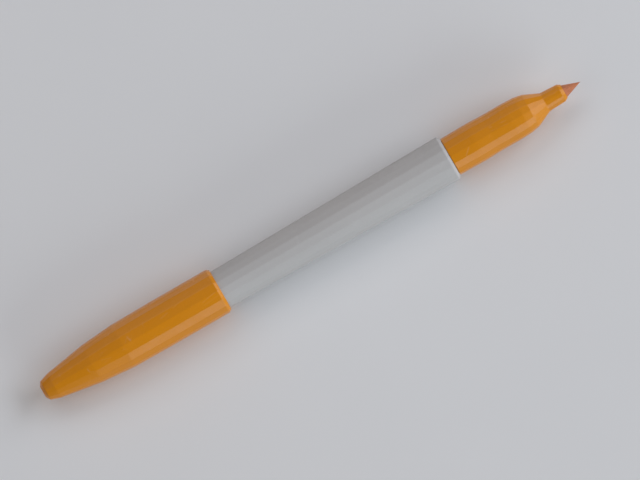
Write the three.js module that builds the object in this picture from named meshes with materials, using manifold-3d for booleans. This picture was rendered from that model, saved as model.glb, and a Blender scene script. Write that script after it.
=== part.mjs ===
// Felt tip marker with its cap posted on the tail.
//
// The marker lies on a flat of its cap, with its axis along X and its nib towards +X. The origin is on
// the table, under the middle of the marker. Everything is in millimetres, with +Z up.
//
// Stations are distances along the axis from the blunt end of the posted cap. An outline is a list of
// [station, radius] pairs. The visible mouldings are 16-sided prisms and cones, so their radius is the
// distance from the axis to an edge between two flats.

import * as THREE from 'three';
import { mergeVertices } from 'three/addons/utils/BufferGeometryUtils.js';
import Module from 'manifold-3d';

const wasm = await Module();
wasm.setup();

// ---------------------------------------------------------------- driving dimensions

const LENGTH = 152.0; // blunt end of the posted cap to the point of the nib
const FLATS = 16; // flats round each visible moulding
const HALF_FLAT = Math.PI / FLATS;
const BORE_SIDES = 32; // sides of a round bore, stem or rod inside the marker
const CAP_BORE_SIDES = 48; // finer, because the tail turns in it
const OVERSHOOT = 1.0; // how far a cutter runs past the face it opens
const SEAM = 0.1; // gap left between two pieces that are pressed together

// Cap
const CAP_RADIUS = 6.0;
const CAP_MOUTH = 50.2;
const CAP_BORE_RADIUS = 5.12;
const CAP_OUTLINE = [
  [0, 1.5], // blunt end
  [0.7, 2.6], // end chamfer
  [3.1, 3.4],
  [13.8, 5.15],
  [22.7, 5.9],
  [33.0, CAP_RADIUS], // straight from here
  [49.4, CAP_RADIUS],
  [CAP_MOUTH, 5.45], // mouth chamfer
];
const CAP_END_WALL = 1.5;
const CAP_VENT_RADIUS = 0.8; // lets air past a closed cap
const SNAP_BACK = 41.7; // groove that clicks over the front section's bulge
const SNAP_LENGTH = 2.3;
const SNAP_DEPTH = 0.15;
const SNAP_RAMP = 0.4;
const LEAD_IN_LENGTH = 0.3;
const LEAD_IN_RADIUS = 5.17;

// Cap liner, the soft cup that seals on the nose when the cap is on the nib
const LINER_MOUTH = 23.2;
const LINER_FLANGE_THICKNESS = 1.0;
const LINER_FLANGE_RADIUS = 4.62;
const LINER_OUTER_RADIUS = 3.45;
const LINER_INNER_RADIUS = 2.62;
const LINER_LIP_RADIUS = 2.4;
const LINER_BACK = 11.8;
const LINER_END_WALL = 1.0;

// Barrel
const TAIL_END = 32.2; // 18 mm inside the cap
const PLUG_FLANGE_THICKNESS = 1.1;
const BARREL_BACK = TAIL_END + PLUG_FLANGE_THICKNESS + SEAM;
const BARREL_RADIUS_AT_MOUTH = 5.0; // where it leaves the cap
const BARREL_FRONT_EDGE = 114.5;
const BARREL_MAX_RADIUS = 5.95;
const BARREL_FRONT = 115.15;
const BARREL_RIM_RADIUS = 5.2;
const BARREL_BORE_BACK_RADIUS = 3.75;
const BARREL_BORE_FRONT_RADIUS = 4.6;

// Ribs in the barrel that centre the reservoir and leave air channels between them
const RIB_COUNT = 6;
const RIB_WIDTH = 0.8;
const RIB_INNER_RADIUS = 3.65;
const RIB_BACK = 43.0;
const RIB_FRONT = 101.0;

// Front section
const STEM_BACK = 102.8;
const STEM_RADIUS = 4.5;
const STEM_RING = 108.0; // snap ring on the stem, groove in the barrel
const STEM_RING_LENGTH = 1.2;
const STEM_RING_HEIGHT = 0.15;
const SECTION_BACK = BARREL_FRONT + SEAM;
const NOSE_END = 147.4;
const SECTION_OUTLINE = [
  [SECTION_BACK, 5.0],
  [122.5, 5.1], // bulge that the cap snaps over
  [126.8, 4.95],
  [132.7, 4.98],
  [135.7, 4.85],
  [137.9, 4.45], // top of the cone
  [142.0, 2.55], // foot of the nose
  [146.6, 2.35],
  [NOSE_END, 1.85],
];
const RESERVOIR_STOP = 131.0;
const SECTION_BORE_RADIUS = 3.7;
const CAVITY_RADIUS = 3.1;
const CAVITY_CONE_START = 136.2;
const CHANNEL_BACK = 140.4;
const CHANNEL_RADIUS = 1.72;
const AIR_GROOVE_COUNT = 3;
const AIR_GROOVE_WIDTH = 0.5;
const AIR_GROOVE_RADIUS = 1.97;
const AIR_GROOVE_FRONT = 145.6;

// Nib
const NIB_BACK = 126.0;
const NIB_RADIUS = 1.64;
const NIB_BACK_RADIUS = 1.1;
const NIB_BACK_TAPER = 1.6;
const NIB_TIP_LENGTH = 0.7;
const NIB_TIP_RADIUS = 0.17;

// Tail plug
const PLUG_FACE_RADIUS = 4.2;
const PLUG_CHAMFER = 0.5;
const PLUG_RADIUS = 3.6;
const PLUG_FRONT = 40.5;
const PLUG_TAPER = 0.8;
const PLUG_RECESS_BACK = 34.3;
const PLUG_RECESS_RADIUS = 2.6;

// Reservoir, its film and its breather tube
const RESERVOIR_BACK = 41.6;
const RESERVOIR_FRONT = 130.0;
const RESERVOIR_RADIUS = 3.3;
const NIB_SOCKET_DEPTH = 4.4;
const NIB_SOCKET_RADIUS = 1.76;
const GROOVE_WIDTH = 1.3;
const GROOVE_FLOOR = 2.1;
const FILM_BACK = 42.4;
const FILM_FRONT = 129.2;
const FILM_INNER_RADIUS = 3.36;
const FILM_OUTER_RADIUS = 3.5;
const BREATHER_BACK = 42.6;
const BREATHER_FRONT = 130.6;
const BREATHER_HEIGHT = 2.72;
const BREATHER_RADIUS = 0.5;
const BREATHER_BORE_RADIUS = 0.28;
const BREATHER_SIDES = 12;

// ---------------------------------------------------------------- finishes

const finish = (color, roughness) => new THREE.MeshStandardMaterial({
  color,
  roughness,
  metalness: 0,
  flatShading: true,
});
const ORANGE = finish(0xd9801c, 0.45);
const PALE_GREY = finish(0xc9cacb, 0.5);
const NATURAL = finish(0xe6e3d8, 0.4);
const FELT = finish(0xd87c62, 0.95);
const INKED_FIBRE = finish(0xe28a3c, 0.95);
const FILM = finish(0xf2efe6, 0.25);

// ---------------------------------------------------------------- making solids

// A closed geometry as a solid that can be joined and cut. Triangles with no area, such as those where
// an outline starts on the axis, are left out.
function solidOf(geometry) {
  const bare = geometry.clone();
  bare.deleteAttribute('normal');
  bare.deleteAttribute('uv');
  const merged = mergeVertices(bare, 1e-4);
  const index = merged.index.array;
  const triVerts = [];
  for (let i = 0; i < index.length; i += 3) {
    const [a, b, c] = index.slice(i, i + 3);
    if (a !== b && b !== c && c !== a) {
      triVerts.push(a, b, c);
    }
  }
  return new wasm.Manifold(new wasm.Mesh({
    numProp: 3,
    vertProperties: merged.attributes.position.array,
    triVerts: new Uint32Array(triVerts),
  }));
}

// Turns an outline of [station, radius] pairs about the X axis. The ends are closed to the axis.
function turned(outline, sides, startAngle = 0) {
  const stations = outline.map(([station]) => station);
  const closed = [[stations[0], 0], ...outline, [stations.at(-1), 0]];
  const points = closed.map(([station, radius]) => new THREE.Vector2(radius, station));
  const geometry = new THREE.LatheGeometry(points, sides, startAngle);
  geometry.rotateZ(-Math.PI / 2);
  return solidOf(geometry);
}

// A visible moulding has a flat on top and a flat underneath.
const moulded = (outline) => turned(outline, FLATS, HALF_FLAT);
const round = (outline, sides = BORE_SIDES) => turned(outline, sides);

// A straight bar along the axis that covers radii from inner to outer, at an angle round it.
function radialBar(back, front, inner, outer, width, angle) {
  const bar = new THREE.BoxGeometry(front - back, width, outer - inner);
  bar.translate((back + front) / 2, 0, (inner + outer) / 2);
  bar.rotateX(angle);
  return solidOf(bar);
}

// The same bar repeated evenly round the axis.
function radialBars(count, back, front, inner, outer, width) {
  const bars = [];
  for (let i = 0; i < count; i += 1) {
    bars.push(radialBar(back, front, inner, outer, width, (i / count) * 2 * Math.PI));
  }
  return bars.reduce((joined, bar) => joined.add(bar));
}

function piece(name, solid, material) {
  const mesh = solid.getMesh();
  const geometry = new THREE.BufferGeometry();
  geometry.setAttribute('position', new THREE.BufferAttribute(mesh.vertProperties, 3));
  geometry.setIndex(new THREE.BufferAttribute(mesh.triVerts, 1));
  geometry.computeVertexNormals();
  const made = new THREE.Mesh(geometry, material);
  made.name = name;
  return made;
}

// ---------------------------------------------------------------- cap

// A thin shell that follows the outline, with a snap groove near the mouth and a vent in the end.
function capShell() {
  const snapFront = SNAP_BACK + SNAP_LENGTH;
  const snapRadius = CAP_BORE_RADIUS + SNAP_DEPTH;
  const bore = round([
    [CAP_END_WALL, 2.05],
    [3.4, 2.45],
    [13.8, 4.15],
    [23.4, 4.83],
    [31.4, CAP_BORE_RADIUS],
    [SNAP_BACK, CAP_BORE_RADIUS],
    [SNAP_BACK + SNAP_RAMP, snapRadius],
    [snapFront - SNAP_RAMP, snapRadius],
    [snapFront, CAP_BORE_RADIUS],
    [CAP_MOUTH - LEAD_IN_LENGTH, CAP_BORE_RADIUS],
    [CAP_MOUTH, LEAD_IN_RADIUS],
    [CAP_MOUTH + OVERSHOOT, LEAD_IN_RADIUS],
  ], CAP_BORE_SIDES);
  const vent = round([
    [-OVERSHOOT, CAP_VENT_RADIUS],
    [CAP_END_WALL + OVERSHOOT, CAP_VENT_RADIUS],
  ]);
  return moulded(CAP_OUTLINE).subtract(bore).subtract(vent);
}

// A flange that stops in the cap's taper, and a cup with a lip inside its mouth.
function capLiner() {
  const flangeBack = LINER_MOUTH - LINER_FLANGE_THICKNESS;
  const cup = round([
    [LINER_BACK, LINER_OUTER_RADIUS - 0.5],
    [LINER_BACK + 0.5, LINER_OUTER_RADIUS],
    [flangeBack, LINER_OUTER_RADIUS],
    [flangeBack, LINER_FLANGE_RADIUS],
    [LINER_MOUTH, LINER_FLANGE_RADIUS],
  ]);
  const lipFront = LINER_MOUTH - 2.4;
  const lipBack = lipFront - 0.6;
  const hollow = round([
    [LINER_BACK + LINER_END_WALL, LINER_INNER_RADIUS - 0.4],
    [LINER_BACK + LINER_END_WALL + 0.4, LINER_INNER_RADIUS],
    [lipBack - 0.4, LINER_INNER_RADIUS],
    [lipBack, LINER_LIP_RADIUS],
    [lipFront, LINER_LIP_RADIUS],
    [lipFront + 0.4, LINER_INNER_RADIUS],
    [LINER_MOUTH - 0.6, LINER_INNER_RADIUS],
    [LINER_MOUTH, LINER_INNER_RADIUS + 0.4],
    [LINER_MOUTH + OVERSHOOT, LINER_INNER_RADIUS + 0.4],
  ]);
  return cup.subtract(hollow);
}

// ---------------------------------------------------------------- body

// The barrel widens steadily from its tail to its front edge.
function barrelRadius(station) {
  return THREE.MathUtils.mapLinear(
    station, CAP_MOUTH, BARREL_FRONT_EDGE, BARREL_RADIUS_AT_MOUTH, BARREL_MAX_RADIUS,
  );
}

function barrel() {
  const outside = moulded([
    [BARREL_BACK, barrelRadius(BARREL_BACK)],
    [BARREL_FRONT_EDGE, BARREL_MAX_RADIUS],
    [BARREL_FRONT, BARREL_RIM_RADIUS],
  ]);
  const seat = STEM_BACK - SEAM;
  const grooveBack = STEM_RING - SEAM;
  const grooveFront = STEM_RING + STEM_RING_LENGTH + SEAM;
  const grooveRadius = BARREL_BORE_FRONT_RADIUS + STEM_RING_HEIGHT;
  const bore = round([
    [BARREL_BACK - OVERSHOOT, BARREL_BORE_BACK_RADIUS],
    [RIB_BACK, BARREL_BORE_BACK_RADIUS],
    [seat, BARREL_BORE_FRONT_RADIUS],
    [grooveBack, BARREL_BORE_FRONT_RADIUS],
    [grooveBack, grooveRadius],
    [grooveFront, grooveRadius],
    [grooveFront, BARREL_BORE_FRONT_RADIUS],
    [BARREL_FRONT + OVERSHOOT, BARREL_BORE_FRONT_RADIUS],
  ]);
  const ribs = radialBars(
    RIB_COUNT, RIB_BACK, RIB_FRONT, RIB_INNER_RADIUS, BARREL_MAX_RADIUS, RIB_WIDTH,
  );
  return outside.subtract(bore.subtract(ribs));
}

// A flange that carries the barrel's outline on to the end, and a hollow plug inside the bore.
function tailPlug() {
  const flangeFront = TAIL_END + PLUG_FLANGE_THICKNESS;
  const flangeRadius = barrelRadius(flangeFront);
  const flange = moulded([
    [TAIL_END, PLUG_FACE_RADIUS],
    [TAIL_END + PLUG_CHAMFER, flangeRadius],
    [flangeFront, flangeRadius],
  ]);
  const stem = round([
    [TAIL_END + PLUG_CHAMFER, PLUG_RADIUS],
    [PLUG_FRONT - PLUG_TAPER, PLUG_RADIUS],
    [PLUG_FRONT, PLUG_RADIUS - PLUG_TAPER / 2],
  ]);
  const recess = round([
    [PLUG_RECESS_BACK, PLUG_RECESS_RADIUS],
    [PLUG_FRONT + OVERSHOOT, PLUG_RECESS_RADIUS],
  ]);
  return flange.add(stem).subtract(recess);
}

// The grip and nose, with a round stem that snaps into the barrel.
function frontSection() {
  const ringFront = STEM_RING + STEM_RING_LENGTH;
  const stem = round([
    [STEM_BACK, STEM_RADIUS - 0.2],
    [STEM_BACK + 0.8, STEM_RADIUS],
    [STEM_RING, STEM_RADIUS],
    [STEM_RING, STEM_RADIUS + STEM_RING_HEIGHT],
    [ringFront, STEM_RADIUS + STEM_RING_HEIGHT],
    [ringFront, STEM_RADIUS],
    [SECTION_BACK + OVERSHOOT, STEM_RADIUS],
  ]);
  const bore = round([
    [STEM_BACK - OVERSHOOT, SECTION_BORE_RADIUS],
    [RESERVOIR_STOP, SECTION_BORE_RADIUS],
    [RESERVOIR_STOP, CAVITY_RADIUS],
    [CAVITY_CONE_START, CAVITY_RADIUS],
    [CHANNEL_BACK, CHANNEL_RADIUS],
  ]);
  const channel = moulded([
    [CHANNEL_BACK - OVERSHOOT, CHANNEL_RADIUS],
    [NOSE_END + OVERSHOOT, CHANNEL_RADIUS],
  ]);
  const airGrooves = radialBars(
    AIR_GROOVE_COUNT, CHANNEL_BACK - OVERSHOOT, AIR_GROOVE_FRONT, 0, AIR_GROOVE_RADIUS, AIR_GROOVE_WIDTH,
  );
  return moulded(SECTION_OUTLINE).add(stem).subtract(bore).subtract(channel).subtract(airGrooves);
}

// A fibre rod with a writing cone in front and a short taper behind.
function nib() {
  return moulded([
    [NIB_BACK, NIB_BACK_RADIUS],
    [NIB_BACK + NIB_BACK_TAPER, NIB_RADIUS],
    [NOSE_END, NIB_RADIUS],
    [LENGTH - NIB_TIP_LENGTH, NIB_TIP_RADIUS],
    [LENGTH, 0],
  ]);
}

// ---------------------------------------------------------------- ink supply

// A fibre rod with a socket for the nib in front and a groove for the breather tube on top.
function inkReservoir() {
  const rod = round([
    [RESERVOIR_BACK, RESERVOIR_RADIUS],
    [RESERVOIR_FRONT, RESERVOIR_RADIUS],
  ]);
  const socket = round([
    [RESERVOIR_FRONT - NIB_SOCKET_DEPTH, NIB_SOCKET_RADIUS],
    [RESERVOIR_FRONT + OVERSHOOT, NIB_SOCKET_RADIUS],
  ]);
  const groove = radialBar(
    RESERVOIR_BACK - OVERSHOOT, RESERVOIR_FRONT + OVERSHOOT,
    GROOVE_FLOOR, RESERVOIR_RADIUS + OVERSHOOT, GROOVE_WIDTH, 0,
  );
  return rod.subtract(socket).subtract(groove);
}

// A plain round tube.
function tube(back, front, outerRadius, innerRadius, sides) {
  const rod = round([[back, outerRadius], [front, outerRadius]], sides);
  const bore = round([[back - OVERSHOOT, innerRadius], [front + OVERSHOOT, innerRadius]], sides);
  return rod.subtract(bore);
}

// ---------------------------------------------------------------- assembly

const cap = new THREE.Group();
cap.add(piece('cap_shell', capShell(), ORANGE));
cap.add(piece('cap_liner', capLiner(), NATURAL));

const breather = piece(
  'breather_tube',
  tube(BREATHER_BACK, BREATHER_FRONT, BREATHER_RADIUS, BREATHER_BORE_RADIUS, BREATHER_SIDES),
  NATURAL,
);
breather.position.z = BREATHER_HEIGHT;

const inkSupply = new THREE.Group();
inkSupply.add(piece('ink_reservoir', inkReservoir(), INKED_FIBRE));
inkSupply.add(piece(
  'reservoir_film',
  tube(FILM_BACK, FILM_FRONT, FILM_OUTER_RADIUS, FILM_INNER_RADIUS, BORE_SIDES),
  FILM,
));
inkSupply.add(breather);

const body = new THREE.Group();
body.add(piece('barrel', barrel(), PALE_GREY));
body.add(piece('tail_plug', tailPlug(), ORANGE));
body.add(piece('front_section', frontSection(), ORANGE));
body.add(piece('nib', nib(), FELT));
body.add(inkSupply);

// The flat under the cap lies on the table, and the middle of the length is over the origin.
const marker = new THREE.Group();
marker.add(cap, body);
marker.position.set(-LENGTH / 2, 0, CAP_RADIUS * Math.cos(HALF_FLAT));

const part = new THREE.Group();
part.name = 'felt_tip_marker';
part.add(marker);

export default part;
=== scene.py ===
# %% [markdown]
# # A felt tip marker with its cap posted on the tail
#
# The marker is nine pieces: a cap with a soft liner, a barrel with a tail plug, a front section that
# holds the nib, and inside them the fibre rod that holds the ink, its film and a breather tube.
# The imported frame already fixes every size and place, so this lesson only makes the surfaces: softly
# edged mouldings instead of raw facets, and finishes for the plastics, the felt, the fibre and the film.
#
# Everything is in metres. The marker lies along X with its nib towards +X, on a floor at z = 0.

# %% Load the fixed frame
import math

import bpy
from mathutils import Matrix, Vector


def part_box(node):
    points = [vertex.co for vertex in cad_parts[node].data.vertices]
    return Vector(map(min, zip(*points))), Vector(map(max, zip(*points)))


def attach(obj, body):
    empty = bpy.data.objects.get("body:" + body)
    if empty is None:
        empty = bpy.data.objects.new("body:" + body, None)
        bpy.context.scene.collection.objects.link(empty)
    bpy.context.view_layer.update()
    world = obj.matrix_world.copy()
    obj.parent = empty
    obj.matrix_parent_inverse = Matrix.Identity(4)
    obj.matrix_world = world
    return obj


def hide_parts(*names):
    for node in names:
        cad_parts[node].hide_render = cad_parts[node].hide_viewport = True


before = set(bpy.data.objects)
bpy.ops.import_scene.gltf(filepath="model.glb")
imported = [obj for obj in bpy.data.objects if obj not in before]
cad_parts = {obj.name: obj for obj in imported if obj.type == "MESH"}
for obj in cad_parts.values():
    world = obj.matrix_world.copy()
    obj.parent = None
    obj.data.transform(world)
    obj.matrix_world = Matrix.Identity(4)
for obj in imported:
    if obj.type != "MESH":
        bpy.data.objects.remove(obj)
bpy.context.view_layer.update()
mm = 0.001
print("pieces in the frame:", ", ".join(sorted(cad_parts)))

# %% [markdown]
# ## Reading the shapes from the frame
#
# A piece that is alike all round its axis is described by its outline: how far it reaches from the
# axis at each place along it. The frame's solids hold those numbers, so the outline is read from
# them and never typed again. Triangles that face away from the axis belong to the outer skin.

# %% Find the axis, and read an outer outline
FLATS = 16
HALF_FLAT = math.pi / FLATS
OUTWARD = 0.3  # how far a triangle faces away from the axis to count as outer skin
cap_low, cap_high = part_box("cap_shell")
AXIS_Z = (cap_low.z + cap_high.z) / 2


def off_axis(point):
    """Distance from the marker's axis."""
    return math.hypot(point.y, point.z - AXIS_Z)


def skin_outline(node, start=-1.0, end=1.0):
    """(station, radius) pairs of a node's outer skin between two stations, tail to nib."""
    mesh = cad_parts[node].data
    reach = {}
    for face in mesh.polygons:
        away = face.normal.y * face.center.y + face.normal.z * (face.center.z - AXIS_Z)
        if away < OUTWARD * off_axis(face.center):
            continue
        for index in face.vertices:
            point = mesh.vertices[index].co
            station = round(point.x, 5)
            if start <= station <= end:
                reach[station] = max(reach.get(station, 0.0), off_axis(point))
    return sorted(reach.items())


cap_skin = skin_outline("cap_shell")
print("axis height", round(AXIS_Z / mm, 3), "mm")
print("cap outline, mm:", [(round(x / mm, 2), round(r / mm, 2)) for x, r in cap_skin])

# %% [markdown]
# ## One flat of a moulding
#
# The real mouldings have sixteen flats with slightly rounded edges, cut by the mould maker all the way
# round. A Bevel modifier could round them, but it stops at the tightest spot of the mesh. Here the
# rounding is part of the shape instead: each corner becomes a short curve, with one extra line of
# points on either side, so that the flats stay flat when the mesh is shaded smoothly.
#
# An outline point is (station, radius, roundness). Roundness 0 is a flat's straight edge and 1 is a
# true circle, so that one strip can run over a faceted outside and back along a round bore.

# %% Round the corners of an outline
CURVE_STEPS = 4
SUPPORT = 1.8  # where the extra lines lie, in widths of the rounding
LARGEST_CORNER = 0.25  # of the shorter side beside a corner


def on_curve(start, corner, end, share):
    """A point on the short curve that replaces a corner."""
    before = start.lerp(corner, share)
    after = corner.lerp(end, share)
    return before.lerp(after, share)


def eased(outline, ease):
    """The outline with each corner rounded over a width of ease on both sides."""
    points = [Vector(p) for p in outline]
    rows = [points[0]]
    for before, corner, after in zip(points, points[1:], points[2:]):
        back, ahead = before - corner, after - corner
        back_length = math.hypot(back.x, back.y)
        ahead_length = math.hypot(ahead.x, ahead.y)
        width = min(ease, LARGEST_CORNER * back_length, LARGEST_CORNER * ahead_length)
        start = corner + back * (width / back_length)
        end = corner + ahead * (width / ahead_length)
        rows.append(corner + back * (SUPPORT * width / back_length))
        rows += [on_curve(start, corner, end, i / CURVE_STEPS) for i in range(CURVE_STEPS + 1)]
        rows.append(corner + ahead * (SUPPORT * width / ahead_length))
    return rows + [points[-1]]


square_corner = [(0, 1, 0), (1, 1, 0), (1, 0, 0)]
print("one corner becomes", len(eased(square_corner, ease=0.1)) - 2, "rows of points")

# %% Lay one row of points across a flat
WIDEST_ROUNDING = 0.35  # of half a flat


def flat_row(station, radius, roundness, ease):
    """Points across one flat, from the edge on its left to the edge on its right."""
    half_width = radius * math.sin(HALF_FLAT)
    height = radius * math.cos(HALF_FLAT)
    width = min(ease, WIDEST_ROUNDING * half_width)
    corner = Vector((half_width, height))
    start = corner + Vector((-width, 0))
    end = corner + width * Vector((math.cos(2 * HALF_FLAT), -math.sin(2 * HALF_FLAT)))
    inner_edge = half_width - SUPPORT * width
    shares = [i / CURVE_STEPS for i in range(CURVE_STEPS // 2, -1, -1)]
    half = [on_curve(start, corner, end, share) for share in shares]
    half += [Vector((inner_edge, height)), Vector((inner_edge / 2, height))]
    across = [Vector((-p.x, p.y)) for p in half] + [Vector((0, height))] + half[::-1]
    row = []
    for point in across:
        angle = math.atan2(point.x, point.y)
        circle = Vector((radius * math.sin(angle), radius * math.cos(angle)))
        place = point.lerp(circle, roundness)
        row.append((station, place.x, AXIS_Z + place.y))
    return row


print("points across one flat:", len(flat_row(station=0.0, radius=1.0, roundness=0.0, ease=0.1)))

# %% Join the rows into the strip for one flat
def flat_strip(name, outline, ease, closed):
    """A mesh of one flat of a moulding. A closed outline runs back to where it began."""
    corners = [*outline, outline[0], outline[1]] if closed else outline
    rows = eased(corners, ease)
    if closed:
        rows = [*rows[1:-1], rows[1]]
    points = []
    for station, radius, roundness in rows:
        points += flat_row(station, max(radius, 0.0), roundness, ease)
    across = len(points) // len(rows)
    faces = []
    for row in range(len(rows) - 1):
        for column in range(across - 1):
            here = row * across + column
            faces.append((here, here + across, here + across + 1, here + 1))
    mesh = bpy.data.meshes.new(name)
    mesh.from_pydata(points, [], faces)
    print(name, "is drawn with", len(rows), "rows of", across, "points on one flat")
    return mesh


# %% [markdown]
# ## Repeating what goes round the axis
#
# The sixteen flats, and the ribs inside the barrel, are one shape repeated evenly about the axis.
# That is a job for Geometry Nodes: one copy of the shape for each point of a row, each copy turned
# one step further about the axis, then made real and welded where the copies meet. The number of
# copies, the height of the axis and the weld stay inputs of the tree.

# %% Build the tree that repeats a shape about the axis
def add_socket(tree, name, kind, value=None, output=False):
    """A named input or output of a node tree."""
    way = "OUTPUT" if output else "INPUT"
    made = tree.interface.new_socket(name=name, in_out=way, socket_type=kind)
    if value is not None:
        made.default_value = value
    return made


def around_the_axis():
    """The tree: copies of its input geometry, evenly about the marker's axis."""
    tree = bpy.data.node_groups.new("around_the_axis", "GeometryNodeTree")
    add_socket(tree, "Geometry", "NodeSocketGeometry", output=True)
    add_socket(tree, "Geometry", "NodeSocketGeometry")
    add_socket(tree, "Copies", "NodeSocketInt", FLATS)
    add_socket(tree, "Axis Height", "NodeSocketFloat", 0.0)
    add_socket(tree, "Weld Distance", "NodeSocketFloat", 0.0)
    add_socket(tree, "Material", "NodeSocketMaterial")
    node, link = tree.nodes.new, tree.links.new
    given = node("NodeGroupInput")
    result = node("NodeGroupOutput")
    points = node("GeometryNodeMeshLine")
    points.mode = "OFFSET"
    points.inputs["Offset"].default_value = (0, 0, 0)
    link(given.outputs["Copies"], points.inputs["Count"])
    copies = node("GeometryNodeInstanceOnPoints")
    link(points.outputs["Mesh"], copies.inputs["Points"])
    link(given.outputs["Geometry"], copies.inputs["Instance"])
    step = node("ShaderNodeMath")
    step.operation = "DIVIDE"
    step.inputs[0].default_value = 2 * math.pi
    link(given.outputs["Copies"], step.inputs[1])
    angle = node("ShaderNodeMath")
    angle.operation = "MULTIPLY"
    link(node("GeometryNodeInputIndex").outputs["Index"], angle.inputs[0])
    link(step.outputs["Value"], angle.inputs[1])
    turn = node("FunctionNodeAxisAngleToRotation")
    turn.inputs["Axis"].default_value = (1, 0, 0)
    link(angle.outputs["Value"], turn.inputs["Angle"])
    pivot = node("ShaderNodeCombineXYZ")
    link(given.outputs["Axis Height"], pivot.inputs["Z"])
    turned = node("GeometryNodeRotateInstances")
    turned.inputs["Local Space"].default_value = False
    link(copies.outputs["Instances"], turned.inputs["Instances"])
    link(turn.outputs["Rotation"], turned.inputs["Rotation"])
    link(pivot.outputs["Vector"], turned.inputs["Pivot Point"])
    real = node("GeometryNodeRealizeInstances")
    link(turned.outputs["Instances"], real.inputs["Geometry"])
    weld = node("GeometryNodeMergeByDistance")
    link(real.outputs["Geometry"], weld.inputs["Geometry"])
    link(given.outputs["Weld Distance"], weld.inputs["Distance"])
    finish = node("GeometryNodeSetMaterial")
    link(weld.outputs["Geometry"], finish.inputs["Geometry"])
    link(given.outputs["Material"], finish.inputs["Material"])
    link(finish.outputs["Geometry"], result.inputs["Geometry"])
    return tree


repeat_tree = around_the_axis()
print("tree inputs:", [item.name for item in repeat_tree.interface.items_tree if item.in_out == "INPUT"])

# %% Run the tree and keep its result as a plain mesh
WELD = 2e-6  # metres


def repeated(name, mesh, copies, material):
    """An object whose mesh is the given shape repeated about the axis."""
    mesh.materials.append(material)
    source = bpy.data.objects.new(name + "_source", mesh)
    bpy.context.scene.collection.objects.link(source)
    modifier = source.modifiers.new("repeat", "NODES")
    modifier.node_group = repeat_tree
    values = {"Copies": copies, "Axis Height": AXIS_Z, "Weld Distance": WELD, "Material": material}
    for item in repeat_tree.interface.items_tree:
        if item.in_out == "INPUT" and item.name in values:
            modifier[item.identifier] = values[item.name]
    evaluated = source.evaluated_get(bpy.context.evaluated_depsgraph_get())
    result = bpy.data.meshes.new_from_object(evaluated)
    source.modifiers.remove(modifier)
    bpy.data.objects.remove(source)
    result.name = name
    result.shade_smooth()
    made = bpy.data.objects.new(name, result)
    bpy.context.scene.collection.objects.link(made)
    print(name, "has", len(result.polygons), "faces, reaching",
          round(max(off_axis(v.co) for v in result.vertices) / mm, 2), "mm from the axis")
    return made


def moulding(name, outline, material, ease, closed=False):
    """A piece with flats or round walls all round the axis, made from its outline."""
    return repeated(name, flat_strip(name, outline, ease, closed), FLATS, material)


# %% [markdown]
# ## Finishes
#
# The visible plastics are coloured through and come out of a finely spark-eroded mould: a satin
# surface with a grain far finer than a tenth of a millimetre. What gives such plastic away as real
# are slow changes: a little unevenness in tone where the melt flowed, and a slightly shinier skin
# where fingers have rubbed the edges. Both plastics share these effects, so each effect is a shader
# node group that puts out plain masks and values, and each material places it with its own amounts.

# %% Helpers for shader node trees
effects = {}
NOISE_LOW, NOISE_HIGH = 0.35, 0.65  # the range that most of a noise's values keep to


def new_group(name, inputs, outputs):
    """A shader node group with float or vector sockets. Returns the tree, its input and its output."""
    tree = bpy.data.node_groups.new(name, "ShaderNodeTree")
    for label, value in inputs.items():
        kind = "NodeSocketVector" if value is None else "NodeSocketFloat"
        add_socket(tree, label, kind, value)
    for label in outputs:
        add_socket(tree, label, "NodeSocketFloat", output=True)
    print("effect", name, "puts out", ", ".join(outputs))
    return tree, tree.nodes.new("NodeGroupInput"), tree.nodes.new("NodeGroupOutput")


def connect(tree, value, socket):
    """Feeds a socket from another socket, or sets it to a plain value."""
    if isinstance(value, bpy.types.NodeSocket):
        tree.links.new(value, socket)
    else:
        socket.default_value = value


def math_node(tree, operation, *values, clamp=False):
    """A Math node on sockets or numbers. Returns its result."""
    made = tree.nodes.new("ShaderNodeMath")
    made.operation = operation
    made.use_clamp = clamp
    for socket, value in zip(made.inputs, values):
        connect(tree, value, socket)
    return made.outputs["Value"]


def noise(tree, vector, scale, detail=2.0, roughness=0.5):
    """A Noise Texture. Returns its grey value."""
    made = tree.nodes.new("ShaderNodeTexNoise")
    connect(tree, vector, made.inputs["Vector"])
    connect(tree, scale, made.inputs["Scale"])
    made.inputs["Detail"].default_value = detail
    made.inputs["Roughness"].default_value = roughness
    return made.outputs["Fac"]


def drawn_out(tree, vector, length, turn=(0.0, 0.0, 0.0)):
    """The vector turned, then squeezed along X, so that a pattern on it is drawn out by length."""
    made = tree.nodes.new("ShaderNodeMapping")
    made.vector_type = "TEXTURE"
    made.inputs["Rotation"].default_value = turn
    made.inputs["Scale"].default_value = (length, 1.0, 1.0)
    connect(tree, vector, made.inputs["Vector"])
    return made.outputs["Vector"]


def remapped(tree, value, low, high, to_low=0.0, to_high=1.0):
    """A value moved from one range to another, and held inside it."""
    made = tree.nodes.new("ShaderNodeMapRange")
    made.inputs["From Min"].default_value = low
    made.inputs["From Max"].default_value = high
    made.inputs["To Min"].default_value = to_low
    made.inputs["To Max"].default_value = to_high
    connect(tree, value, made.inputs["Value"])
    return made.outputs["Result"]


# %% Effect: the grain and the flow of a moulded surface
WAVE_HEIGHT = 1.6  # in heights of the grain
FLOW_LENGTH = 3.0  # how many times longer than wide the drifts are, along the marker
FLOW_SHARE, SPECK_SHARE = 0.7, 0.3
SPECK_SCALE = 2400.0


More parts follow.
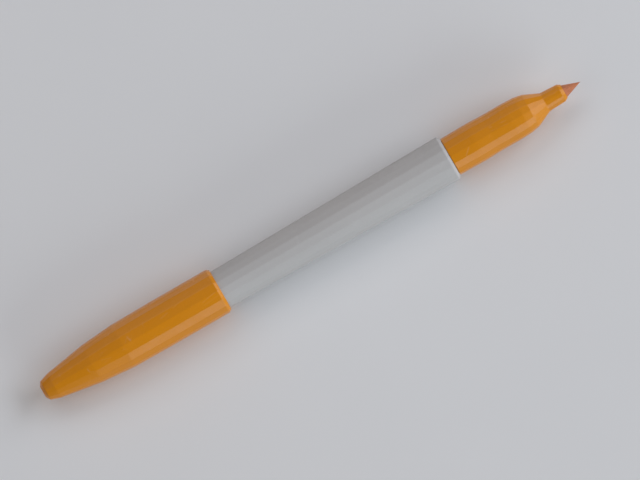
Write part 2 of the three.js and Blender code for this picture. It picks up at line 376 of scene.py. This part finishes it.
def moulded_surface():
    """Height of the grain over soft waves, and how far the tone drifts from place to place."""
    tree, given, result = new_group(
        "moulded_surface",
        {"Vector": None, "Grain Scale": 8000.0, "Wave Scale": 700.0, "Flow Scale": 110.0},
        ["Height", "Tone"],
    )
    place = given.outputs["Vector"]
    grain = noise(tree, place, given.outputs["Grain Scale"], 3.0, 0.6)
    waves = noise(tree, place, given.outputs["Wave Scale"], 1.0, 0.4)
    height = math_node(tree, "ADD", grain, math_node(tree, "MULTIPLY", waves, WAVE_HEIGHT))
    flow = noise(tree, drawn_out(tree, place, FLOW_LENGTH), given.outputs["Flow Scale"], 3.0, 0.55)
    specks = noise(tree, place, SPECK_SCALE, 2.0, 0.5)
    tone = math_node(tree, "ADD", math_node(tree, "MULTIPLY", flow, FLOW_SHARE),
                     math_node(tree, "MULTIPLY", specks, SPECK_SHARE))
    connect(tree, height, result.inputs["Height"])
    connect(tree, remapped(tree, tone, NOISE_LOW, NOISE_HIGH), result.inputs["Tone"])
    return tree


effects["moulded_surface"] = moulded_surface()

# %% Effect: handling, as polished edges, smudges and hairline scratches; the edge mask also places a painted highlight
HAIRLINE_WIDTH = 0.009  # of a cell
HAIRLINE_LENGTH = 10.0  # in cells
EDGE_STARTS, EDGE_FULL = 0.505, 0.56  # pointiness, which is 0.5 on a flat
RUBBED_STARTS, RUBBED_FULL = 0.3, 0.6  # of the noise that says where hands have been
SCRATCH_PATCH_SCALE = 300.0
SCRATCH_SETS = (
    # how the scratches are turned, and the noise values between which they fade in
    ((0.1, 0.06, 0.05), 0.55, 0.66),
    ((0.8, 0.5, 0.6), 0.44, 0.34),
)


def hairlines(tree, place, scale, turn):
    """Straight thin lines: the edges of cells that are drawn out ten times along one direction."""
    cells = tree.nodes.new("ShaderNodeTexVoronoi")
    cells.feature = "DISTANCE_TO_EDGE"
    connect(tree, drawn_out(tree, place, HAIRLINE_LENGTH, turn), cells.inputs["Vector"])
    connect(tree, scale, cells.inputs["Scale"])
    return remapped(tree, cells.outputs["Distance"], 0.0, HAIRLINE_WIDTH, 1.0, 0.0)


def handling():
    """Where an edge has had wear, a mask that the plastic also uses for a painted edge highlight, where
    skin has left a smudge, and where hairline scratches lie.
    """
    tree, given, result = new_group(
        "handling",
        {"Vector": None, "Edge": 0.5, "Smudge Scale": 170.0, "Scratch Scale": 330.0},
        ["Rubbed", "Smudges", "Scratches"],
    )
    place = given.outputs["Vector"]
    patches = noise(tree, place, given.outputs["Smudge Scale"], 4.0, 0.6)
    edge = remapped(tree, given.outputs["Edge"], EDGE_STARTS, EDGE_FULL)
    often_rubbed = remapped(tree, patches, RUBBED_STARTS, RUBBED_FULL)
    rubbed_and_highlit = math_node(tree, "MULTIPLY", edge, often_rubbed)
    scratches = 0.0
    for turn, low, high in SCRATCH_SETS:
        lines = hairlines(tree, place, given.outputs["Scratch Scale"], turn)
        kept = remapped(tree, noise(tree, place, SCRATCH_PATCH_SCALE, 2.0, 0.6), low, high)
        scratches = math_node(tree, "MAXIMUM", scratches, math_node(tree, "MULTIPLY", lines, kept))
    connect(tree, rubbed_and_highlit, result.inputs["Rubbed"])
    connect(tree, remapped(tree, patches, NOISE_LOW, NOISE_HIGH), result.inputs["Smudges"])
    connect(tree, scratches, result.inputs["Scratches"])
    return tree


effects["handling"] = handling()

# %% Effect: strands of fibre along the marker
STRAND_LENGTH = 20.0  # how many times longer than wide, along the marker
PORE_LENGTH = 2.5
PORE_HEIGHT = 0.8  # in heights of a strand
SOAK_SCALE = 700.0
STRAND_SHARE, SOAK_SHARE, PORE_SHARE = 0.45, 0.25, 0.3
TONE_LOW, TONE_HIGH = 0.38, 0.62  # the range that the mixed tone keeps to


def fibre_strands():
    """Height and tone of fine strands that run along X, with darker pores where ink has gathered."""
    tree, given, result = new_group(
        "fibre_strands",
        {"Vector": None, "Strand Scale": 9000.0, "Pore Scale": 2600.0},
        ["Height", "Tone"],
    )
    place = given.outputs["Vector"]
    along = drawn_out(tree, place, STRAND_LENGTH)
    strands = noise(tree, along, given.outputs["Strand Scale"], 4.0, 0.65)
    pores = noise(tree, drawn_out(tree, place, PORE_LENGTH), given.outputs["Pore Scale"], 2.0, 0.5)
    soaked = noise(tree, place, SOAK_SCALE, 3.0, 0.5)
    tone = math_node(tree, "ADD", math_node(tree, "MULTIPLY", strands, STRAND_SHARE),
                     math_node(tree, "MULTIPLY", soaked, SOAK_SHARE))
    tone = math_node(tree, "ADD", tone, math_node(tree, "MULTIPLY", pores, PORE_SHARE))
    height = math_node(tree, "ADD", strands, math_node(tree, "MULTIPLY", pores, PORE_HEIGHT))
    connect(tree, height, result.inputs["Height"])
    connect(tree, remapped(tree, tone, TONE_LOW, TONE_HIGH), result.inputs["Tone"])
    return tree


effects["fibre_strands"] = fibre_strands()

# %% Helpers for a finish
def new_finish(name):
    """A material with a Principled shader. Returns the material, its tree, the shader and its place."""
    material = bpy.data.materials.new(name + "_finish")
    material.use_nodes = True
    tree = material.node_tree
    shader = tree.nodes["Principled BSDF"]
    place = tree.nodes.new("ShaderNodeTexCoord").outputs["Object"]
    print("finish:", material.name)
    return material, tree, shader, place


def effect(tree, name, **values):
    """Places an effect's node group. Underscores in a value's name stand for spaces."""
    made = tree.nodes.new("ShaderNodeGroup")
    made.node_tree = effects[name]
    for label, value in values.items():
        connect(tree, value, made.inputs[label.replace("_", " ")])
    return made.outputs


def tinted(tree, amount, low, high):
    """A colour that goes from low to high as the amount goes from 0 to 1."""
    made = tree.nodes.new("ShaderNodeMix")
    made.data_type = "RGBA"
    connect(tree, amount, made.inputs["Factor"])
    connect(tree, low, made.inputs["A"])
    connect(tree, high, made.inputs["B"])
    return made.outputs["Result"]


def bumped(tree, height, depth, strength=1.0):
    """A normal that follows a height, with the depth in metres."""
    made = tree.nodes.new("ShaderNodeBump")
    made.inputs["Strength"].default_value = strength
    made.inputs["Distance"].default_value = depth
    connect(tree, height, made.inputs["Height"])
    return made.outputs["Normal"]


def shade(colour, factor):
    """A colour made darker or lighter, as red, green, blue and alpha."""
    return (*(min(1.0, channel * factor) for channel in colour), 1.0)


# %% [markdown]
# ### The two plastics
#
# The cap, the plug and the front section are one orange plastic, and the barrel is pale grey. They
# are the same kind of surface with other colours, so one function makes both.

# %% Moulded plastic
ORANGE = (0.724, 0.2575, 0.003)
PALE_GREY = (0.52, 0.506, 0.493)
WORN_AND_HIGHLIT_TONE = 0.85  # the pale tone that worn plastic, and the painted highlight on its edges, go towards
WORN_AND_HIGHLIT_SHARE = 0.4
# scratches and worn edges are painted paler; on the edges this is partly wear and partly a painted
# highlight that picks out the flats
SCRATCH_PALENESS, EDGE_WEAR_AND_HIGHLIGHT_PALENESS = 0.24, 0.16
SMUDGE_ROUGHNESS, SCRATCH_ROUGHNESS, RUBBED_POLISH = 0.04, 0.15, 0.12
SCRATCH_HEIGHT = -0.8  # in heights of the grain
GRAIN_DEPTH = 0.014 * mm


def moulded_plastic(name, colour, roughness, drift, gloss):
    """A plastic coloured through, with fine grain, slow drift in tone, signs of handling, and edges
    painted paler, partly as wear and partly as a painted highlight.
    """
    material, tree, shader, place = new_finish(name)
    surface = effect(tree, "moulded_surface", Vector=place)
    edge = tree.nodes.new("ShaderNodeNewGeometry").outputs["Pointiness"]
    wear_and_highlight = effect(tree, "handling", Vector=place, Edge=edge)
    body = tinted(tree, surface["Tone"], shade(colour, 1 - drift), shade(colour, 1 + drift))
    pale = shade([channel + WORN_AND_HIGHLIT_SHARE * (WORN_AND_HIGHLIT_TONE - channel) for channel in colour], 1.0)
    # painted highlight: edges are painted paler to pick out the flats, on top of real wear and scratches
    wear_and_highlight_marks = math_node(tree, "ADD", math_node(tree, "MULTIPLY", wear_and_highlight["Scratches"], SCRATCH_PALENESS),
                      math_node(tree, "MULTIPLY", wear_and_highlight["Rubbed"], EDGE_WEAR_AND_HIGHLIGHT_PALENESS))
    connect(tree, tinted(tree, wear_and_highlight_marks, body, pale), shader.inputs["Base Color"])
    smudged = remapped(tree, wear_and_highlight["Smudges"], 0, 1, roughness - SMUDGE_ROUGHNESS,
                       roughness + SMUDGE_ROUGHNESS)
    scratched = math_node(tree, "MULTIPLY", wear_and_highlight["Scratches"], SCRATCH_ROUGHNESS)
    polished = math_node(tree, "MULTIPLY", wear_and_highlight["Rubbed"], RUBBED_POLISH)
    marked = math_node(tree, "ADD", smudged, scratched)
    rough = math_node(tree, "SUBTRACT", marked, polished, clamp=True)
    connect(tree, rough, shader.inputs["Roughness"])
    grooves = math_node(tree, "MULTIPLY", wear_and_highlight["Scratches"], SCRATCH_HEIGHT)
    height = math_node(tree, "ADD", surface["Height"], grooves)
    connect(tree, bumped(tree, height, GRAIN_DEPTH), shader.inputs["Normal"])
    shader.inputs["Specular IOR Level"].default_value = gloss
    return material


orange_plastic = moulded_plastic(
    "orange_plastic", ORANGE, roughness=0.33, drift=0.035, gloss=0.39,
)
pale_grey_plastic = moulded_plastic(
    "pale_grey_plastic", PALE_GREY, roughness=0.40, drift=0.025, gloss=0.13,
)

# %% [markdown]
# ### Natural plastic, felt, inked fibre and film
#
# The liner and the breather tube are uncoloured polyethylene, which lets a little light in.
# The nib is a rod of pressed and bonded fibres, ground to a cone and soaked with ink: dull, finely
# streaked along its length. The reservoir is the same idea, looser. The film round it is clear.

# %% Natural plastic
NATURAL = (0.80, 0.78, 0.71)
NATURAL_DARKER, NATURAL_PALER = 0.96, 1.03
NATURAL_GRAIN_DEPTH = 0.004 * mm
SCATTER_DEPTH = 1.0 * mm


def natural_plastic_finish():
    """Milky plastic with a fine grain, and a little light that scatters inside it."""
    material, tree, shader, place = new_finish("natural_plastic")
    surface = effect(tree, "moulded_surface", Vector=place, Grain_Scale=6000.0)
    connect(tree, tinted(tree, surface["Tone"], shade(NATURAL, NATURAL_DARKER),
                         shade(NATURAL, NATURAL_PALER)), shader.inputs["Base Color"])
    connect(tree, remapped(tree, surface["Tone"], 0, 1, 0.30, 0.38), shader.inputs["Roughness"])
    connect(tree, bumped(tree, surface["Height"], NATURAL_GRAIN_DEPTH, 0.5), shader.inputs["Normal"])
    shader.inputs["Subsurface Weight"].default_value = 0.15
    shader.inputs["Subsurface Radius"].default_value = (1.0, 0.9, 0.7)
    shader.inputs["Subsurface Scale"].default_value = SCATTER_DEPTH
    return material


natural_plastic = natural_plastic_finish()

# %% Felt and inked fibre
NIB_CORAL = (0.557, 0.200, 0.098)
INK_ORANGE = (0.78, 0.36, 0.10)
FIBRE_DARKER, FIBRE_PALER = 0.80, 1.16
PALE_FIBRE_SHINE = 0.12  # how much less rough the palest fibre is


def fibre_finish(name, colour, strand_scale, depth, roughness):
    """Bonded fibre: dull, streaked, a little shinier where it is paler, and downy at grazing angles."""
    material, tree, shader, place = new_finish(name)
    strands = effect(tree, "fibre_strands", Vector=place, Strand_Scale=strand_scale)
    connect(tree, tinted(tree, strands["Tone"], shade(colour, FIBRE_DARKER),
                         shade(colour, FIBRE_PALER)), shader.inputs["Base Color"])
    connect(tree, remapped(tree, strands["Tone"], 0, 1, roughness, roughness - PALE_FIBRE_SHINE),
            shader.inputs["Roughness"])
    connect(tree, bumped(tree, strands["Height"], depth), shader.inputs["Normal"])
    shader.inputs["Specular IOR Level"].default_value = 0.10
    shader.inputs["Sheen Weight"].default_value = 0.15
    shader.inputs["Sheen Roughness"].default_value = 0.5
    return material


nib_felt = fibre_finish(
    "nib_felt", NIB_CORAL, strand_scale=9000.0, depth=0.014 * mm, roughness=0.85,
)
inked_fibre = fibre_finish(
    "inked_fibre", INK_ORANGE, strand_scale=5000.0, depth=0.05 * mm, roughness=0.95,
)

# %% Clear film
FILM = (0.93, 0.92, 0.88)
FILM_DARKER, FILM_PALER = 0.97, 1.03
FILM_WAVE_DEPTH = 0.02 * mm
FILM_COVER = 0.35  # how much of what lies behind it the film hides


def clear_film_finish():
    """A thin clear film with slight waves."""
    material, tree, shader, place = new_finish("clear_film")
    surface = effect(tree, "moulded_surface", Vector=place, Flow_Scale=400.0)
    connect(tree, tinted(tree, surface["Tone"], shade(FILM, FILM_DARKER), shade(FILM, FILM_PALER)),
            shader.inputs["Base Color"])
    connect(tree, remapped(tree, surface["Tone"], 0, 1, 0.10, 0.22), shader.inputs["Roughness"])
    connect(tree, bumped(tree, surface["Tone"], FILM_WAVE_DEPTH, 0.4), shader.inputs["Normal"])
    shader.inputs["Alpha"].default_value = FILM_COVER
    return material


clear_film = clear_film_finish()

# %% [markdown]
# ## The cap
#
# A thin shell: sixteen flats outside and a round bore inside, with the wall nearly even all along, as
# a moulder wants it. The outline goes out along the skin to the mouth and back along the bore, so
# the shell is one closed surface. A shallow groove near the mouth clicks over the front section, and
# a small hole in the blunt end lets air through.

# %% Cap shell
EDGE = 0.16 * mm
CAP_WALL = 0.765 * mm
CAP_END_WALL = 1.5 * mm
VENT_RADIUS = 0.8 * mm
END_BORE = 2.1 * mm
LEAD_IN_LENGTH, LEAD_IN_FLARE = 0.3 * mm, 0.05 * mm
SNAP_FROM_MOUTH = 7.35 * mm
SNAP_HALF_WIDTH, SNAP_HALF_FLOOR = 1.15 * mm, 0.75 * mm
SNAP_DEPTH = 0.15 * mm
BORE_TAPER_FROM_SNAP = 3 * mm
mouth = cap_skin[-1][0]
straight_radius = max(radius for station, radius in cap_skin)
bore_radius = straight_radius * math.cos(HALF_FLAT) - CAP_WALL


def cap_shell_outline():
    """Out along the skin to the mouth, back along the bore, and through the vent."""
    skin = [(station, radius, 0.0) for station, radius in cap_skin]
    snap = mouth - SNAP_FROM_MOUTH
    end_wall = cap_low.x + CAP_END_WALL
    bore = [
        (mouth, bore_radius + LEAD_IN_FLARE, 1.0),
        (mouth - LEAD_IN_LENGTH, bore_radius, 1.0),
        (snap + SNAP_HALF_WIDTH, bore_radius, 1.0),
        (snap + SNAP_HALF_FLOOR, bore_radius + SNAP_DEPTH, 1.0),
        (snap - SNAP_HALF_FLOOR, bore_radius + SNAP_DEPTH, 1.0),
        (snap - SNAP_HALF_WIDTH, bore_radius, 1.0),
    ]
    for station, radius in reversed(cap_skin):
        if end_wall < station < snap - BORE_TAPER_FROM_SNAP:
            bore.append((station, min(bore_radius, radius * math.cos(HALF_FLAT) - CAP_WALL), 1.0))
    vent = [
        (end_wall, END_BORE, 1.0),
        (end_wall, VENT_RADIUS, 1.0),
        (cap_low.x, VENT_RADIUS, 1.0),
    ]
    return skin + bore + vent


cap_shell = moulding("cap_moulding", cap_shell_outline(), orange_plastic, EDGE, closed=True)
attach(cap_shell, "cap")
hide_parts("cap_shell")

# %% [markdown]
# ## The cap's liner
#
# A soft cup seals on the nose when the cap is on the nib. It is drawn like the cap, but round
# everywhere: a flange that stops in the cap's taper, a cup behind it, and a lip inside the mouth.

# %% Cap liner
liner_low, liner_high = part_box("cap_liner")
LINER_EDGE = 0.12 * mm
FLANGE_LENGTH = 1.0 * mm
CUP_RADIUS, CUP_END_RADIUS, CUP_CHAMFER = 3.45 * mm, 3.0 * mm, 0.5 * mm
CUP_FLOOR = 1.0 * mm
CUP_FLOOR_RADIUS, CUP_FLOOR_CHAMFER = 2.2 * mm, 0.4 * mm
SEAL_BORE, SEAL_MOUTH = 2.62 * mm, 3.0 * mm
SEAL_MOUTH_LENGTH = 0.6 * mm
LIP_RADIUS = 2.4 * mm
LIP_FRONT, LIP_BACK, LIP_SLOPE = 2.0 * mm, 3.4 * mm, 0.4 * mm  # behind the liner's front


def liner_outline():
    """Out over the back of the cup and the flange, then back through the lip to the cup's floor."""
    front, back = liner_high.x, liner_low.x
    flange = (liner_high.z - liner_low.z) / 2
    return [(station, radius, 1.0) for station, radius in [
        (back, 0.0),
        (back, CUP_END_RADIUS),
        (back + CUP_CHAMFER, CUP_RADIUS),
        (front - FLANGE_LENGTH, CUP_RADIUS),
        (front - FLANGE_LENGTH, flange),
        (front, flange),
        (front, SEAL_MOUTH),
        (front - SEAL_MOUTH_LENGTH, SEAL_BORE),
        (front - LIP_FRONT, SEAL_BORE),
        (front - LIP_FRONT - LIP_SLOPE, LIP_RADIUS),
        (front - LIP_BACK + LIP_SLOPE, LIP_RADIUS),
        (front - LIP_BACK, SEAL_BORE),
        (back + CUP_FLOOR + CUP_FLOOR_CHAMFER, SEAL_BORE),
        (back + CUP_FLOOR, CUP_FLOOR_RADIUS),
        (back + CUP_FLOOR, 0.0),
    ]]


liner = moulding("cap_liner_cup", liner_outline(), natural_plastic, LINER_EDGE)
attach(liner, "cap_carrier")
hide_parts("cap_liner")

# %% [markdown]
# ## The barrel
#
# One long pale tube that widens towards the front, open at both ends. Inside, six ribs centre the
# reservoir and leave air channels between them, again one rib repeated about the axis.

# %% Barrel tube
barrel_skin = skin_outline("barrel")
barrel_back, barrel_front = barrel_skin[0][0], barrel_skin[-1][0]
TAIL_BORE = 3.75 * mm
TAIL_BORE_LENGTH = 9.6 * mm
FRONT_BORE = 4.6 * mm
STEM_LENGTH = 12.45 * mm


def barrel_outline():
    """Out along the skin, and back along a bore that is straight at both ends and tapers between."""
    skin = [(station, radius, 0.0) for station, radius in barrel_skin]
    return skin + [
        (barrel_front, FRONT_BORE, 1.0),
        (barrel_front - STEM_LENGTH, FRONT_BORE, 1.0),
        (barrel_back + TAIL_BORE_LENGTH, TAIL_BORE, 1.0),
        (barrel_back, TAIL_BORE, 1.0),
    ]


barrel = moulding("barrel_tube", barrel_outline(), pale_grey_plastic, EDGE, closed=True)
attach(barrel, "marker_body")
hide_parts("barrel")

# %% Barrel ribs
RIBS = 6
RIB_WIDTH = 0.8 * mm
RIB_INNER = 3.65 * mm
RIB_FROM_STEM = 1.6 * mm
RIB_SINK = 0.03 * mm  # how far a rib goes into the wall


def rib_mesh():
    """One rib on top of the bore: a bar with a level inner edge and an outer edge just inside the wall."""
    back = barrel_back + TAIL_BORE_LENGTH
    front = barrel_front - STEM_LENGTH - RIB_FROM_STEM
    outline = [
        (back, RIB_INNER),
        (front, RIB_INNER),
        (front, FRONT_BORE + RIB_SINK),
        (back, TAIL_BORE + RIB_SINK),
    ]
    points = []
    for side in (-RIB_WIDTH / 2, RIB_WIDTH / 2):
        points += [(station, side, AXIS_Z + radius) for station, radius in outline]
    faces = [(0, 1, 2, 3), (7, 6, 5, 4)]
    faces += [(i, 4 + i, 4 + (i + 1) % 4, (i + 1) % 4) for i in range(4)]
    mesh = bpy.data.meshes.new("barrel_rib")
    mesh.from_pydata(points, [], faces)
    return mesh


ribs = repeated("barrel_ribs", rib_mesh(), RIBS, pale_grey_plastic)
ribs.data.shade_flat()
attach(ribs, "marker_body")

# %% [markdown]
# ## The tail plug
#
# The plug closes the barrel's tail. Its flange carries the barrel's flats on to a chamfered end, and
# its stem is a hollow round cup pressed into the bore. It shows when the cap is pulled off.

# %% Tail plug
plug_low, plug_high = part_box("tail_plug")
flange_skin = skin_outline("tail_plug", end=barrel_back)
PLUG_STEM = 3.6 * mm
PLUG_LEAD_LENGTH, PLUG_LEAD = 0.8 * mm, 0.4 * mm
PLUG_BORE = 2.6 * mm
PLUG_END_WALL = 2.1 * mm


def plug_outline():
    """Over the closed end and the flange, along the stem, and back into the hollow to its floor."""
    flange_front = flange_skin[-1][0]
    return [
        (plug_low.x, 0.0, 0.0),
        *[(station, radius, 0.0) for station, radius in flange_skin],
        (flange_front, PLUG_STEM, 1.0),
        (plug_high.x - PLUG_LEAD_LENGTH, PLUG_STEM, 1.0),
        (plug_high.x, PLUG_STEM - PLUG_LEAD, 1.0),
        (plug_high.x, PLUG_BORE, 1.0),
        (plug_low.x + PLUG_END_WALL, PLUG_BORE, 1.0),
        (plug_low.x + PLUG_END_WALL, 0.0, 1.0),
    ]


plug = moulding("tail_plug_moulding", plug_outline(), orange_plastic, EDGE)
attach(plug, "marker_body")
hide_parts("tail_plug")

# %% [markdown]
# ## The front section
#
# The grip and the nose are one moulding, with a slight bulge where the cap clicks on, a rounded
# shoulder, a cone and a slim nose. A round stem goes back into the barrel. Inside, a wide bore takes
# the reservoir's front end, and a narrow channel through the nose holds the nib.

# %% Front section
section_low, section_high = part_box("front_section")
grip_skin = skin_outline("front_section", start=barrel_front)
SECTION_EDGE = 0.13 * mm
# radii of the bores, and how far behind the nose's front each one ends
NIB_CHANNEL, NIB_CHANNEL_LENGTH = 1.72 * mm, 7.0 * mm
FUNNEL_BORE, FUNNEL_END = 3.1 * mm, 11.2 * mm
RESERVOIR_BORE, RESERVOIR_STOP = 3.7 * mm, 16.4 * mm
# the stem's radii, and lengths along it from its back end
STEM_RADIUS, STEM_END_RADIUS, STEM_LEAD = 4.5 * mm, 4.3 * mm, 0.8 * mm
STEM_RING_RADIUS, STEM_RING_START, STEM_RING_LENGTH = 4.65 * mm, 5.2 * mm, 1.2 * mm


def section_outline():
    """Out along the stem, over its ring and the grip to the nose, and back along the bores."""
    back, nose = section_low.x, section_high.x
    ring_back = back + STEM_RING_START
    ring_front = ring_back + STEM_RING_LENGTH
    return [
        (back, STEM_END_RADIUS, 1.0),
        (back + STEM_LEAD, STEM_RADIUS, 1.0),
        (ring_back, STEM_RADIUS, 1.0),
        (ring_back, STEM_RING_RADIUS, 1.0),
        (ring_front, STEM_RING_RADIUS, 1.0),
        (ring_front, STEM_RADIUS, 1.0),
        (grip_skin[0][0], STEM_RADIUS, 1.0),
        *[(station, radius, 0.0) for station, radius in grip_skin],
        (nose, NIB_CHANNEL, 0.0),
        (nose - NIB_CHANNEL_LENGTH, NIB_CHANNEL, 0.0),
        (nose - FUNNEL_END, FUNNEL_BORE, 1.0),
        (nose - RESERVOIR_STOP, FUNNEL_BORE, 1.0),
        (nose - RESERVOIR_STOP, RESERVOIR_BORE, 1.0),
        (back, RESERVOIR_BORE, 1.0),
    ]


section = moulding(
    "front_section_moulding", section_outline(), orange_plastic, SECTION_EDGE, closed=True,
)
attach(section, "marker_body")
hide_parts("front_section")

# %% [markdown]
# ## The nib
#
# A rod of bonded fibre with the same sixteen flats, ground to a cone in front. Writing has rounded
# the very point, so the cone loses its flats towards it.

# %% Nib
nib_skin = skin_outline("nib")
NIB_EDGE = 0.06 * mm
CONE_ROWS = ((0.7, 0.0), (0.96, 0.7))  # share of the way to the point, and roundness there


def nib_outline():
    """The rod's own outline, with one plain cone drawn in to a slightly rounded point."""
    point = nib_skin[-1][0]
    cone_start, rod_radius = nib_skin[-3]
    rows = [(nib_skin[0][0], 0.0, 0.0)]
    rows += [(station, radius, 0.0) for station, radius in nib_skin[:-2]]
    for share, roundness in CONE_ROWS:
        rows.append((cone_start + share * (point - cone_start), (1 - share) * rod_radius, roundness))
    return rows + [(point, 0.0, 1.0)]


nib = moulding("nib_point", nib_outline(), nib_felt, NIB_EDGE)
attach(nib, "marker_body")
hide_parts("nib")

# %% [markdown]
# ## The ink supply
#
# The reservoir, its film and the breather tube are inside the barrel, where nothing of them shows.
# Their shapes in the frame are right as they are, so they only get their finishes.

# %% Ink supply
INSIDE = {
    "ink_reservoir": inked_fibre,
    "reservoir_film": clear_film,
    "breather_tube": natural_plastic,
}
for node, material in INSIDE.items():
    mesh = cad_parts[node].data
    mesh.materials.clear()
    mesh.materials.append(material)
    print(node, "is finished in", material.name)

# %% [markdown]
# ## Floor, light and camera
#
# The marker lies on a plain pale floor under soft studio light from four large panels. A low one on
# the near side puts the pale streak on one row of flats, and a strong one by the nib lights every
# face that looks forward. Two weaker, warmer ones lift the far side and the cap's end.
#
# The camera looks down at the marker's side, along a line through one edge between two flats, and is
# rolled so that the nib points up to the right. It has no perspective, so that the rings of the
# outline stay straight.

# %% Floor
FLOOR_SIZE = 6.0
FLOOR_DARK, FLOOR_LIGHT = 0.78, 0.82
FLOOR_CLOUD_SCALE = 14.0


def pale_floor_finish():
    """Matt pale grey with very faint clouds."""
    material, tree, shader, place = new_finish("pale_floor")
    tone = noise(tree, place, FLOOR_CLOUD_SCALE, 3.0, 0.5)
    white = (1, 1, 1)
    connect(tree, tinted(tree, tone, shade(white, FLOOR_DARK), shade(white, FLOOR_LIGHT)),
            shader.inputs["Base Color"])
    shader.inputs["Roughness"].default_value = 0.8
    return material


floor_mesh = bpy.data.meshes.new("floor")
half_floor = FLOOR_SIZE / 2
floor_mesh.from_pydata(
    [(x * half_floor, y * half_floor, 0) for x, y in ((-1, -1), (1, -1), (1, 1), (-1, 1))],
    [], [(0, 1, 2, 3)],
)
floor_mesh.materials.append(pale_floor_finish())
floor = bpy.data.objects.new("floor", floor_mesh)
bpy.context.scene.collection.objects.link(floor)
print("floor:", FLOOR_SIZE, "m square, at z = 0")

# %% Surroundings
GLOW_COLOUR, GLOW_STRENGTH = (1.0, 0.955, 0.955, 1), 0.155
BACKDROP_COLOUR = (0.56, 0.57, 0.58, 1)


def studio_surroundings():
    """Weak even light from all round, which the camera sees about as bright as the floor."""
    world = bpy.data.worlds.new("studio")
    world.use_nodes = True
    tree = world.node_tree
    glow = tree.nodes["Background"]
    glow.inputs["Color"].default_value = GLOW_COLOUR
    glow.inputs["Strength"].default_value = GLOW_STRENGTH
    backdrop = tree.nodes.new("ShaderNodeBackground")
    backdrop.inputs["Color"].default_value = BACKDROP_COLOUR
    seen = tree.nodes.new("ShaderNodeMixShader")
    camera_ray = tree.nodes.new("ShaderNodeLightPath").outputs["Is Camera Ray"]
    tree.links.new(camera_ray, seen.inputs[0])
    tree.links.new(glow.outputs["Background"], seen.inputs[1])
    tree.links.new(backdrop.outputs["Background"], seen.inputs[2])
    tree.links.new(seen.outputs["Shader"], tree.nodes["World Output"].inputs["Surface"])
    return world


bpy.context.scene.world = studio_surroundings()
bpy.context.scene.view_settings.view_transform = "Standard"
print("surroundings glow at strength", GLOW_STRENGTH)

# %% Camera
SIDE_ELEVATION = math.radians(90) - HALF_FLAT  # looks along a line through an edge
ROLL = math.radians(30)
PICTURE_WIDTH = 156.8 * mm
CAMERA_DISTANCE = 0.6
AIM_SHIFT = (2.06 * mm, -0.76 * mm)  # the marker lies a little left of and above the middle

towards_camera = Vector((0, -math.cos(SIDE_ELEVATION), math.sin(SIDE_ELEVATION)))
along = Vector((1, 0, 0))
across = towards_camera.cross(along)
right = math.cos(ROLL) * along - math.sin(ROLL) * across
up = math.sin(ROLL) * along + math.cos(ROLL) * across
aim = Vector((0, 0, AXIS_Z)) + AIM_SHIFT[0] * right + AIM_SHIFT[1] * up

camera_data = bpy.data.cameras.new("camera")
camera_data.type = "ORTHO"
camera_data.ortho_scale = PICTURE_WIDTH
camera = bpy.data.objects.new("camera", camera_data)
turn = Matrix((right, up, towards_camera)).transposed().to_4x4()
camera.matrix_world = Matrix.Translation(aim + CAMERA_DISTANCE * towards_camera) @ turn
bpy.context.scene.collection.objects.link(camera)
bpy.context.scene.camera = camera
print("camera looks down by", round(math.degrees(SIDE_ELEVATION), 2), "degrees, on",
      round(PICTURE_WIDTH / mm, 1), "mm of floor across")

# %% Soft boxes
LAMP_DISTANCE = 2.5  # metres, far enough to light both ends of the marker alike


def soft_box(name, azimuth, elevation, width, height, power, colour):
    """A lit panel that faces the marker. Azimuth 0 is the near side and 90 is to the right."""
    data = bpy.data.lights.new(name, "AREA")
    data.shape = "RECTANGLE"
    data.size = width
    data.size_y = height
    data.energy = power
    data.color = colour
    turned, raised = math.radians(azimuth), math.radians(elevation)
    back = Vector((
        math.sin(turned) * math.cos(raised),
        -math.cos(turned) * math.cos(raised),
        math.sin(raised),
    ))
    level = Vector((math.cos(turned), math.sin(turned), 0))
    facing = Matrix((level, back.cross(level), back)).transposed().to_4x4()
    lamp = bpy.data.objects.new(name, data)
    lamp.matrix_world = Matrix.Translation(Vector((0, 0, AXIS_Z)) + LAMP_DISTANCE * back) @ facing
    lamp.visible_camera = False
    bpy.context.scene.collection.objects.link(lamp)
    print(name, "is", width, "by", height, "m and gives", power, "W")


soft_box("near_box", azimuth=18, elevation=15, width=2.0, height=1.0,
         power=22.8, colour=(0.93, 1.01, 1.06))
soft_box("right_box", azimuth=80, elevation=35, width=2.5, height=1.5,
         power=37.2, colour=(0.92, 0.99, 1.09))
soft_box("far_box", azimuth=180, elevation=50, width=3.0, height=1.25,
         power=12.2, colour=(1.05, 0.98, 0.97))
soft_box("left_box", azimuth=-90, elevation=38, width=1.5, height=1.5,
         power=4.0, colour=(1.04, 0.99, 0.97))
